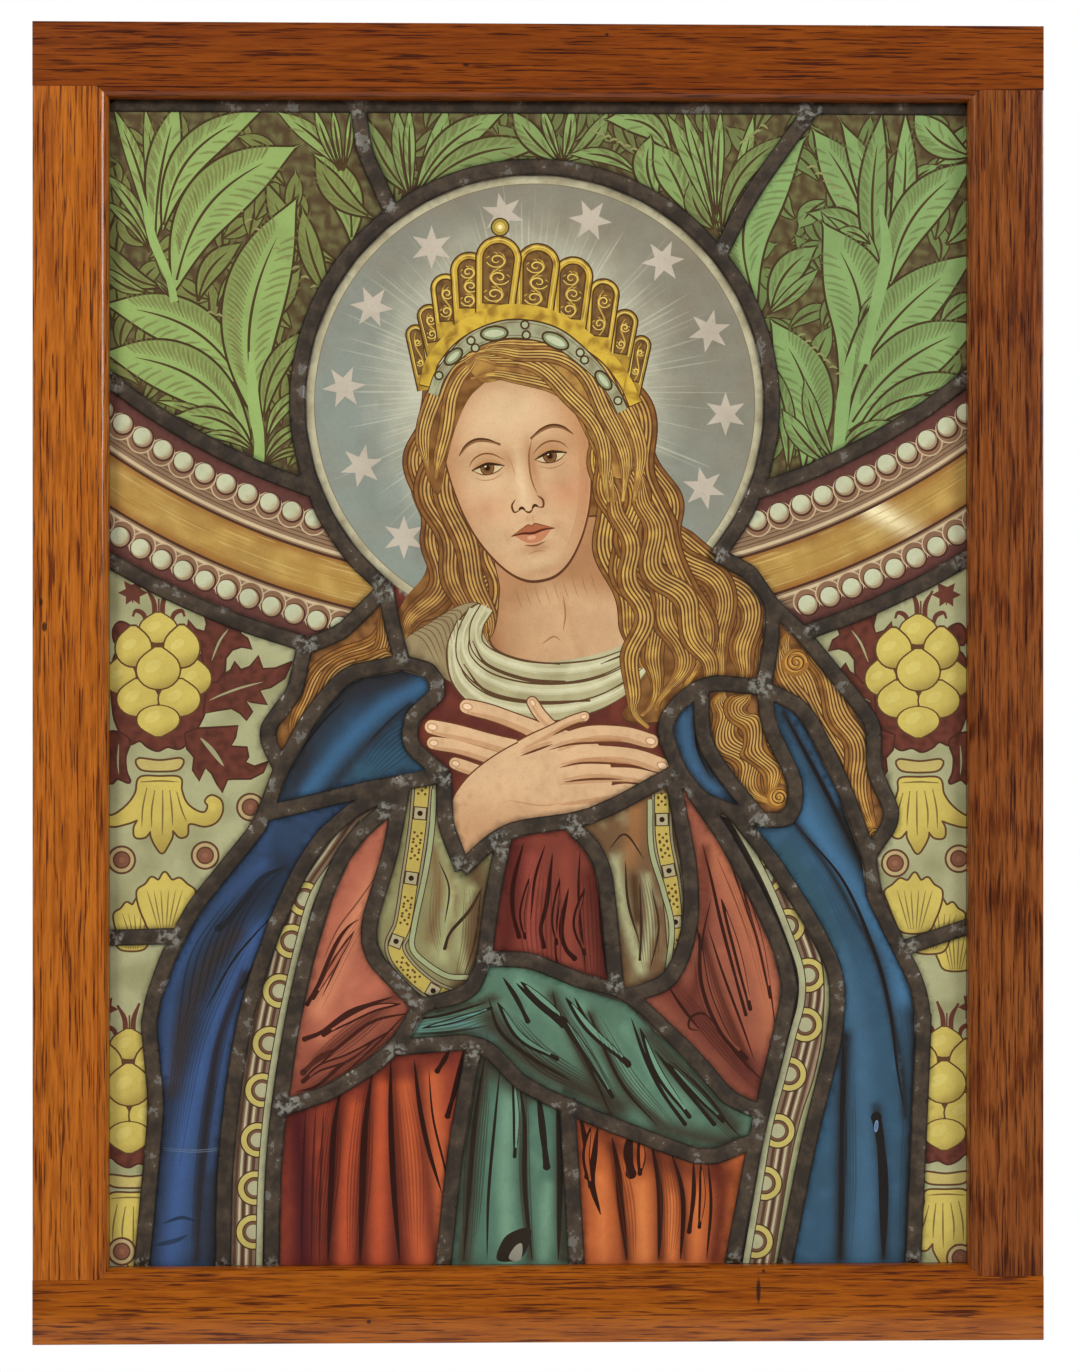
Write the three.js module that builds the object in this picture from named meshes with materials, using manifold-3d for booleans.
/**
 * Stained glass window: a leaded panel of painted glass, 28 panes in lead cames,
 * set in a rebated oak frame and held from behind by four glazing beads.
 *
 * Millimetres, +Z up, +X right, the face looks along -Y and the back is at y = 0.
 * Everything is drawn about the middle of the frame, and the whole group is then
 * lowered so that the origin is the hanging point on the top rail's back.
 */
import * as THREE from 'three';
import { mergeVertices } from 'three/addons/utils/BufferGeometryUtils.js';
import Module from 'manifold-3d';

const wasm = await Module();
wasm.setup();

// ---------------------------------------------------------------- driving sizes
const FRAME_WIDTH = 690;
const FRAME_HEIGHT = 900;
const FRAME_DEPTH = 35;
const MEMBER_FLAT = 44;          // flat face of a rail or stile
const STICKING_WIDTH = 7;        // rounded moulding round the opening
const STICKING_STEP = 1.5;       // quirk between the flat and the moulding
const REBATE_WIDTH = 13;
const LIP_BACK = -21;            // back of the lip that the lead sits against

const CAME_THICKNESS = 6;        // front flange to back flange
const FLANGE_THICKNESS = 1.5;
const FLANGE_HALF = 5.5;         // half the width of an ordinary lead
const HEART_HALF = 0.9;          // the web between the two flanges
const HEART_LAP = 0.5;           // how far the heart runs into each flange
const GLASS_GAP = 0.4;           // putty gap between a pane and the heart
const PANEL_SIDE = 306;          // half width of the leaded panel
const PANEL_TOP = 403;
const PANEL_BOTTOM = -411;
const BORDER_WIDTH = 12;         // lead round the edge of the panel
const BORDER_WALL = 2.5;         // its outer wall
const CURVE_SAG = 0.8;           // chord error allowed on a curved lead
const LAP = 1;                   // a lead's end runs this far past the joint

const BEAD_DEPTH = 12;
const BEAD_CHAMFER = 4;

// ------------------------------------------------------------- derived sizes
const HALF_W = FRAME_WIDTH / 2;
const HALF_H = FRAME_HEIGHT / 2;
const MEMBER_WIDTH = MEMBER_FLAT + STICKING_WIDTH;
const REBATE_START = MEMBER_WIDTH - REBATE_WIDTH;
const HANG_HEIGHT = HALF_H - REBATE_START / 2;
const CAME_FRONT = LIP_BACK;
const CAME_BACK = CAME_FRONT + CAME_THICKNESS;
const GLASS_FRONT = CAME_FRONT + FLANGE_THICKNESS;
const GLASS_BACK = CAME_BACK - FLANGE_THICKNESS;

// ------------------------------------------------------------- solid modelling
/** Turn a closed three.js geometry into a manifold solid. */
function toSolid(geometry) {
  const bare = geometry.index ? geometry.toNonIndexed() : geometry.clone();
  bare.deleteAttribute('normal');
  bare.deleteAttribute('uv');
  const welded = mergeVertices(bare, 1e-5);
  const mesh = new wasm.Mesh({
    numProp: 3,
    vertProperties: new Float32Array(welded.attributes.position.array),
    triVerts: new Uint32Array(welded.index.array),
  });
  return new wasm.Manifold(mesh);
}

/** Turn a manifold solid back into a flat-shaded three.js geometry. */
function toGeometry(solid) {
  const mesh = solid.getMesh();
  const geometry = new THREE.BufferGeometry();
  geometry.setAttribute('position', new THREE.BufferAttribute(mesh.vertProperties, 3));
  geometry.setIndex(new THREE.BufferAttribute(mesh.triVerts, 1));
  geometry.computeVertexNormals();
  return geometry;
}

/** Add a list of solids together. */
function union(solids) {
  return solids.reduce((sum, solid) => sum.add(solid));
}

/** Extrude an outline in X-Z from the depth `front` to the depth `back`. */
function slab(outline, front, back) {
  const shape = new THREE.Shape(outline);
  const geometry = new THREE.ExtrudeGeometry(shape, { depth: back - front, bevelEnabled: false });
  geometry.rotateX(Math.PI / 2);
  geometry.translate(0, back, 0);
  return toSolid(geometry);
}

/** A rectangle in X-Z as an outline. */
function rectangle(left, right, bottom, top) {
  return [
    new THREE.Vector2(left, bottom),
    new THREE.Vector2(right, bottom),
    new THREE.Vector2(right, top),
    new THREE.Vector2(left, top),
  ];
}

// ------------------------------------------------------------------ lead lines
const HALO = { x: -3, z: 191.5, radius: 163, from: -129, to: -39.5 };
const ARCH = { x: -1.5, z: 585.5, upper: 478.5, lower: 581 };

/** A point on a circle in X-Z, with the angle in degrees from +X. */
function onCircle(x, z, radius, degrees) {
  const angle = THREE.MathUtils.degToRad(degrees);
  return [x + radius * Math.cos(angle), z + radius * Math.sin(angle)];
}

// Soldered joints that several leads share.
const HALO_LEFT = onCircle(HALO.x, HALO.z, HALO.radius, HALO.from);
const HALO_RIGHT = onCircle(HALO.x, HALO.z, HALO.radius, HALO.to);
const LOCK_TOP_LEFT = [-161, 24.5];
const LOCK_TOP_RIGHT = [180, 35];
const LOCK_TIP_LEFT = [-177, -59];
const LOCK_TIP_RIGHT = [227, -119];
const COLLAR_LEFT = [-94, 14];
const COLLAR_RIGHT = [154, -3];
const CHEST_LOCK_TIP = [152.5, -94];
const ELBOW_LEFT = [-66, -63];
const WRIST_LEFT = [-53, -127];
const WRIST_RIGHT = [96, -60];
const BODICE_POINT_LEFT = [-38, -189];
const BODICE_POINT_RIGHT = [62, -215];
const CUFF_POINT_LEFT = [-82, -222];

// Every free lead line, as the few points its curve runs through.
const CAMES = {
  foliage_left: [[-125, 400], [-119, 363], [-101, 322]],
  foliage_right: [[191, 400], [161, 359], [139, 324], [124, 295]],
  band_end_left: [HALO_LEFT, [-134, 37], LOCK_TOP_LEFT],
  neck_left: [HALO_LEFT, [-101, 40], COLLAR_LEFT],
  collar: [COLLAR_LEFT, [-76, 8], [-70, -6], [-86, -23], [-88, -41], ELBOW_LEFT],
  forearm_left: [ELBOW_LEFT, [-64, -97], WRIST_LEFT],
  hands: [WRIST_LEFT, [-23, -103], [35, -91], WRIST_RIGHT],
  chest_right: [WRIST_RIGHT, [87, -28], [113, -2], COLLAR_RIGHT],
  band_end_right: [HALO_RIGHT, [146, 74], [160, 54], LOCK_TOP_RIGHT],
  hair_right: [[160, 54], [159, 25], COLLAR_RIGHT],
  lock_right_outer: [LOCK_TOP_RIGHT, [204, 5], [229, -30], [231, -60], [242, -92], LOCK_TIP_RIGHT],
  lock_right_inner: [COLLAR_RIGHT, [179, -17], [204, -60], LOCK_TIP_RIGHT],
  chest_lock_left: [[111, -2], [114, -40], [132, -69], CHEST_LOCK_TIP],
  chest_lock_right: [COLLAR_RIGHT, [159, -31], [176, -72], [171, -92], CHEST_LOCK_TIP],
  shoulder_hem_right: [WRIST_RIGHT, [113, -80], CHEST_LOCK_TIP],
  lock_left_outer: [LOCK_TOP_LEFT, [-168, -5], [-186, -34], LOCK_TIP_LEFT],
  lock_left_inner: [COLLAR_LEFT, [-131, 5], [-160, -28], LOCK_TIP_LEFT],
  mantle_left: [LOCK_TIP_LEFT, [-194, -100], [-240, -160], [-266, -225], [-263, -290], [-273, -408]],
  tie_left: [[-303, -174.5], [-246, -173]],
  shoulder_left: [[-186, -89], [-115, -72], ELBOW_LEFT],
  orphrey_left_outer: [[-93, -67], [-147, -104], [-195, -206], [-214, -318], [-217, -408]],
  orphrey_left_inner: [[-97, -79], [-132, -114], [-158, -182], [-180, -305], [-184, -408]],
  cuff_left_outer: [[-93, -67], [-102, -114], [-116, -180], CUFF_POINT_LEFT],
  cuff_left_hem: [CUFF_POINT_LEFT, [-48, -210], BODICE_POINT_LEFT],
  bodice_left: [[-24, -103], [-33, -151], BODICE_POINT_LEFT],
  bodice_hem: [BODICE_POINT_LEFT, [-6, -191], [28, -204], BODICE_POINT_RIGHT],
  bodice_right: [[20, -95], [41, -121], [50, -185], [53, -212]],
  cuff_right_outer: [[91, -63], [102, -121], [103, -168], [89, -203], BODICE_POINT_RIGHT],
  sleeve_right_hem: [BODICE_POINT_RIGHT, [103, -254], [130, -284], [154, -296]],
  orphrey_right_inner: [[106, -75], [132, -114], [171, -203], [163, -250], [148, -318], [131, -408]],
  orphrey_right_outer: [[133, -88], [166, -131], [203, -199], [203, -240], [185, -318], [167, -408]],
  mantle_right: [LOCK_TIP_RIGHT, [232, -149], [262, -216], [262, -284], [257, -408]],
  tie_right: [[249, -183], [303, -165]],
  sleeve_left_hem: [[-179, -292], [-146, -281], [-100, -250], CUFF_POINT_LEFT],
  sash_lower: [[-98, -250], [-40, -249], [-12, -274], [54, -305], [117, -325], [149, -314]],
  tail_left: [[-45, -249], [-57, -318], [-67, -408]],
  tail_right: [[19, -286], [23, -359], [26, -408]],
};

/** Points of a smooth curve through a lead's knots, no denser than its bends need. */
function splineLine(knots) {
  const points = knots.map(([x, z]) => new THREE.Vector3(x, z, 0));
  const curve = new THREE.CatmullRomCurve3(points, false, 'centripetal');
  const dense = curve.getPoints(24 * (knots.length - 1));
  return thin(dense.map((p) => new THREE.Vector2(p.x, p.y)), CURVE_SAG);
}

/** Points along a circle in X-Z, spaced for the same chord error. */
function arcLine(x, z, radius, fromDegrees, toDegrees) {
  const span = THREE.MathUtils.degToRad(Math.abs(toDegrees - fromDegrees));
  const step = 2 * Math.acos(1 - CURVE_SAG / radius);
  const count = Math.ceil(span / step);
  const line = [];
  for (let i = 0; i <= count; i += 1) {
    const degrees = fromDegrees + ((toDegrees - fromDegrees) * i) / count;
    line.push(new THREE.Vector2(...onCircle(x, z, radius, degrees)));
  }
  return line;
}

/** Drop the points of a polyline that lie within `tolerance` of the chord. */
function thin(line, tolerance) {
  const first = line[0];
  const last = line[line.length - 1];
  const chord = last.clone().sub(first);
  const length = chord.length();
  let worst = 0;
  let index = 0;
  for (let i = 1; i < line.length - 1; i += 1) {
    const distance = Math.abs(chord.cross(line[i].clone().sub(first))) / length;
    if (distance > worst) {
      worst = distance;
      index = i;
    }
  }
  if (worst <= tolerance) {
    return [first, last];
  }
  const head = thin(line.slice(0, index + 1), tolerance);
  const tail = thin(line.slice(index), tolerance);
  return head.slice(0, -1).concat(tail);
}

/** The angle, in degrees from +X, at which an arch lead reaches a given x. */
function archAngle(radius, x) {
  return -THREE.MathUtils.radToDeg(Math.acos((x - ARCH.x) / radius));
}

/** Where an arch lead runs into the halo ring, as an angle on the arch. */
function archAtHalo(radius, side) {
  const distance = Math.hypot(HALO.x - ARCH.x, HALO.z - ARCH.z);
  const cosine = (radius ** 2 + distance ** 2 - HALO.radius ** 2) / (2 * radius * distance);
  const towards = Math.atan2(HALO.z - ARCH.z, HALO.x - ARCH.x);
  return THREE.MathUtils.radToDeg(towards + side * Math.acos(cosine));
}

/** All the centre lines of the leading inside the border lead. */
function cameLines() {
  const edge = PANEL_SIDE - BORDER_WALL;
  const { x, z, upper, lower } = ARCH;
  const arcs = [
    arcLine(HALO.x, HALO.z, HALO.radius, HALO.to, 360 + HALO.from),
    arcLine(x, z, upper, archAngle(upper, -edge), archAtHalo(upper, -1)),
    arcLine(x, z, upper, archAtHalo(upper, 1), archAngle(upper, edge)),
    arcLine(x, z, lower, archAngle(lower, -edge), archAngle(lower, LOCK_TOP_LEFT[0])),
    arcLine(x, z, lower, archAngle(lower, LOCK_TOP_RIGHT[0]), archAngle(lower, edge)),
  ];
  return arcs.concat(Object.values(CAMES).map(splineLine));
}

/** Outline of a strip of half width `half` about a polyline, mitred at its bends. */
function stripOutline(line, half) {
  const last = line.length - 1;
  const left = [];
  const right = [];
  line.forEach((point, i) => {
    const before = point.clone().sub(line[Math.max(i - 1, 0)]).normalize();
    const after = line[Math.min(i + 1, last)].clone().sub(point).normalize();
    const along = before.clone().add(after).normalize();
    const normal = new THREE.Vector2(-along.y, along.x);
    const bend = i > 0 && i < last ? before.dot(along) : 1;
    const reach = i === 0 ? -LAP : i === last ? LAP : 0;
    const centre = point.clone().addScaledVector(along, reach);
    left.push(centre.clone().addScaledVector(normal, half / bend));
    right.push(centre.clone().addScaledVector(normal, -half / bend));
  });
  return right.concat(left.reverse());
}

/** One layer of the leading: every strip at one width, trimmed to the panel's edge. */
function cameLayer(lines, half, front, back) {
  const strips = union(lines.map((line) => slab(stripOutline(line, half), front, back)));
  const edge = rectangle(-PANEL_SIDE, PANEL_SIDE, PANEL_BOTTOM, PANEL_TOP);
  return strips.intersect(slab(edge, front, back));
}

/** A rectangular ring round the panel, `width` wide, between two depths. */
function borderRing(width, front, back) {
  const outer = rectangle(-PANEL_SIDE, PANEL_SIDE, PANEL_BOTTOM, PANEL_TOP);
  const inner = rectangle(
    -PANEL_SIDE + width, PANEL_SIDE - width, PANEL_BOTTOM + width, PANEL_TOP - width,
  );
  const ring = new THREE.Shape(outer);
  ring.holes.push(new THREE.Path(inner.reverse()));
  const geometry = new THREE.ExtrudeGeometry(ring, { depth: back - front, bevelEnabled: false });
  geometry.rotateX(Math.PI / 2);
  geometry.translate(0, back, 0);
  return toSolid(geometry);
}

/** The whole leading, soldered into one piece: two flanges and the heart between. */
function leadCames(lines) {
  return union([
    cameLayer(lines, FLANGE_HALF, CAME_FRONT, GLASS_FRONT),
    borderRing(BORDER_WIDTH, CAME_FRONT, GLASS_FRONT),
    cameLayer(lines, HEART_HALF, GLASS_FRONT - HEART_LAP, GLASS_BACK + HEART_LAP),
    borderRing(BORDER_WALL, GLASS_FRONT - HEART_LAP, GLASS_BACK + HEART_LAP),
    cameLayer(lines, FLANGE_HALF, GLASS_BACK, CAME_BACK),
    borderRing(BORDER_WIDTH, GLASS_BACK, CAME_BACK),
  ]);
}

// ----------------------------------------------------------------------- glass
// Each pane: a point on it, its colour and how glossy its paint is.
const PANES = {
  glass_foliage_left: { at: [-231, 261], colour: '#7fa766' },
  glass_foliage_top: { at: [42, 377], colour: '#7fa76b' },
  glass_foliage_right: { at: [232, 295], colour: '#8cb06d' },
  glass_arch_band_left: { at: [-231, 111], colour: '#b58f5c' },
  glass_arch_band_right: { at: [232, 111], colour: '#b98f58' },
  glass_head_and_halo: { at: [1, 159], colour: '#8e97a0' },
  glass_damask_left_upper: { at: [-245, -66], colour: '#a5a578' },
  glass_damask_left_lower: { at: [-286, -284], colour: '#9c9a6c' },
  glass_damask_right_upper: { at: [267, -66], colour: '#a3a178' },
  glass_damask_right_lower: { at: [280, -284], colour: '#98966a' },
  glass_hair_lock_left: { at: [-156, -5], colour: '#b08a50' },
  glass_hair_lock_chest: { at: [134, -39], colour: '#b5854c' },
  glass_hair_lock_right: { at: [212, -39], colour: '#b5884e' },
  glass_shoulder_left: { at: [-115, -39], colour: '#2e4f86' },
  glass_shoulder_right: { at: [99, -46], colour: '#33629a' },
  glass_mantle_left: { at: [-231, -250], colour: '#25568f' },
  glass_mantle_right: { at: [226, -250], colour: '#36699c' },
  glass_orphrey_left: { at: [-194, -284], colour: '#a9a56c' },
  glass_orphrey_right: { at: [164, -284], colour: '#b3a766' },
  glass_sleeve_left: { at: [-129, -203], colour: '#b9663f' },
  glass_sleeve_right: { at: [130, -182], colour: '#b5643f' },
  glass_cuff_left: { at: [-67, -162], colour: '#9a9768' },
  glass_cuff_right: { at: [69, -148], colour: '#9c9a6a' },
  glass_bodice: { at: [8, -148], colour: '#8e3a2c' },
  glass_sash: { at: [42, -250], colour: '#4f8d76' },
  glass_sash_tail: { at: [-13, -339], colour: '#4b8a78' },
  glass_skirt_left: { at: [-129, -339], colour: '#a33b25' },
  glass_skirt_right: { at: [83, -353], colour: '#b65a2e' },
};

/** Cut the sheet of glass along the leading and pick out each pane. */
function glassPanes(lines) {
  const inset = BORDER_WALL + GLASS_GAP;
  const sheet = slab(
    rectangle(-PANEL_SIDE + inset, PANEL_SIDE - inset, PANEL_BOTTOM + inset, PANEL_TOP - inset),
    GLASS_FRONT, GLASS_BACK,
  );
  const cuts = cameLayer(lines, HEART_HALF + GLASS_GAP, CAME_FRONT, CAME_BACK);
  const pieces = sheet.subtract(cuts).decompose();
  return Object.entries(PANES).map(([name, { at: [x, z], colour }]) => {
    const probe = slab(rectangle(x - 1, x + 1, z - 1, z + 1), GLASS_FRONT, GLASS_BACK);
    const solid = pieces.find((piece) => piece.intersect(probe).volume() > 1);
    return { name, solid, colour };
  });
}

// ----------------------------------------------------------------------- frame
/** Snap to a sixteenth, so that mitred neighbours share their points exactly. */
function snap(value) {
  return Math.round(value * 16) / 16;
}

/** Section of the rounded sticking: [distance from the outer edge, depth]. */
function stickingSection() {
  const section = [[MEMBER_FLAT, LIP_BACK], [MEMBER_FLAT, -FRAME_DEPTH + STICKING_STEP]];
  const steps = 5;
  for (let i = 1; i <= steps; i += 1) {
    const angle = (Math.PI / 2) * (i / steps);
    const across = MEMBER_FLAT + STICKING_WIDTH * Math.sin(angle);
    const depth = -FRAME_DEPTH + STICKING_STEP + STICKING_WIDTH * (1 - Math.cos(angle));
    section.push([snap(across), snap(depth)]);
  }
  section.push([MEMBER_WIDTH, LIP_BACK]);
  return section;
}

/**
 * Sticking along one member, mitred at both ends.
 * `place(across, along, depth)` gives the point in space.
 */
function sticking(halfLength, place) {
  const section = stickingSection();
  const positions = [-1, 1].flatMap((end) => section.map(
    ([across, depth]) => place(across, end * (halfLength - across), depth),
  ));
  const count = section.length;
  const triangles = [];
  for (let i = 0; i < count; i += 1) {
    const next = (i + 1) % count;
    triangles.push([i, next, count + next], [i, count + next, count + i]);
  }
  const cap = THREE.ShapeUtils.triangulateShape(
    section.map(([across, depth]) => new THREE.Vector2(across, depth)), [],
  );
  cap.forEach(([a, b, c]) => {
    triangles.push([a, c, b], [count + a, count + b, count + c]);
  });
  return closedSolid(positions, triangles);
}

/** A solid from points and triangles, turned outward if need be. */
function closedSolid(positions, triangles) {
  const build = (list) => new wasm.Mesh({
    numProp: 3,
    vertProperties: new Float32Array(positions.flat()),
    triVerts: new Uint32Array(list.flat()),
  });
  const solid = new wasm.Manifold(build(triangles));
  if (solid.volume() > 0) {
    return solid;
  }
  return new wasm.Manifold(build(triangles.map(([a, b, c]) => [a, c, b])));
}

/** Top (side 1) or bottom (side -1) rail: it runs the full width. */
function rail(side) {
  const outer = side * HALF_H;
  const level = (across) => outer - side * across;
  const band = (width) => [level(0), level(width)].sort((a, b) => a - b);
  return union([
    slab(rectangle(-HALF_W, HALF_W, ...band(MEMBER_FLAT)), -FRAME_DEPTH, LIP_BACK),
    slab(rectangle(-HALF_W, HALF_W, ...band(REBATE_START)), LIP_BACK - 1, 0),
    sticking(HALF_W, (across, along, depth) => [along, depth, level(across)]),
  ]);
}

/** Left (side -1) or right (side 1) stile: it stands between the two rails. */
function stile(side) {
  const outer = side * HALF_W;
  const level = (across) => outer - side * across;
  const band = (width) => [level(0), level(width)].sort((a, b) => a - b);
  const front = HALF_H - MEMBER_FLAT;
  const back = HALF_H - REBATE_START;
  return union([
    slab(rectangle(...band(MEMBER_FLAT), -front, front), -FRAME_DEPTH, LIP_BACK),
    slab(rectangle(...band(REBATE_START), -front, front), LIP_BACK - 1, 0),
    slab(rectangle(...band(REBATE_START), -back, back), LIP_BACK, 0),
    sticking(HALF_H, (across, along, depth) => [level(across), depth, along]),
  ]);
}

/** A glazing bead: a plain strip with its inner back edge chamfered. */
function bead(length, angle) {
  const front = CAME_BACK;
  const back = CAME_BACK + BEAD_DEPTH;
  const section = new THREE.Shape([
    new THREE.Vector2(0, front),
    new THREE.Vector2(REBATE_WIDTH, front),
    new THREE.Vector2(REBATE_WIDTH, back - BEAD_CHAMFER),
    new THREE.Vector2(REBATE_WIDTH - BEAD_CHAMFER, back),
    new THREE.Vector2(0, back),
  ]);
  const geometry = new THREE.ExtrudeGeometry(section, { depth: length, bevelEnabled: false });
  // The section stands in X-Y and is drawn out along +Z; lay it along its member.
  geometry.translate(0, 0, -length / 2);
  geometry.rotateY(angle);
  return geometry;
}

/** The four beads behind the glass, at the inner edge of the rebate. */
function glazingBeads() {
  const wallX = HALF_W - REBATE_START;
  const wallZ = HALF_H - REBATE_START;
  const sideLength = 2 * (wallZ - REBATE_WIDTH);
  const left = bead(sideLength, 0).translate(-wallX, 0, 0);
  const right = bead(sideLength, Math.PI).translate(wallX, 0, 0);
  const top = bead(2 * wallX, Math.PI / 2).translate(0, 0, wallZ);
  const bottom = bead(2 * wallX, -Math.PI / 2).translate(0, 0, -wallZ);
  return {
    bead_left: toSolid(left), bead_right: toSolid(right), bead_top: toSolid(top), bead_bottom: toSolid(bottom),
  };
}

// -------------------------------------------------------------------- assembly
/** A named mesh of one physical piece. */
function piece(name, solid, colour, roughness, metalness) {
  const material = new THREE.MeshStandardMaterial({ color: colour, roughness, metalness });
  material.name = name;
  const mesh = new THREE.Mesh(toGeometry(solid), material);
  mesh.name = name;
  return mesh;
}

const OAK = '#8a4a1e';
const OAK_DARK = '#5f3116';
const LEAD = '#57544c';

const lines = cameLines();
const stainedGlassWindow = new THREE.Group();
stainedGlassWindow.name = 'stained_glass_window';

const oakFrame = new THREE.Group();
oakFrame.name = 'oak_frame';
oakFrame.add(piece('top_rail', rail(1), OAK, 0.45, 0));
oakFrame.add(piece('bottom_rail', rail(-1), OAK, 0.45, 0));
oakFrame.add(piece('left_stile', stile(-1), OAK, 0.45, 0));
oakFrame.add(piece('right_stile', stile(1), OAK_DARK, 0.45, 0));
Object.entries(glazingBeads()).forEach(([name, solid]) => {
  oakFrame.add(piece(name, solid, OAK_DARK, 0.6, 0));
});

const leadedPanel = new THREE.Group();
leadedPanel.name = 'leaded_panel';
leadedPanel.add(piece('lead_cames', leadCames(lines), LEAD, 0.55, 0.8));
glassPanes(lines).forEach(({ name, solid, colour }) => {
  leadedPanel.add(piece(name, solid, colour, 0.3, 0));
});

stainedGlassWindow.add(oakFrame, leadedPanel);
stainedGlassWindow.position.z = -HANG_HEIGHT;

export default stainedGlassWindow;
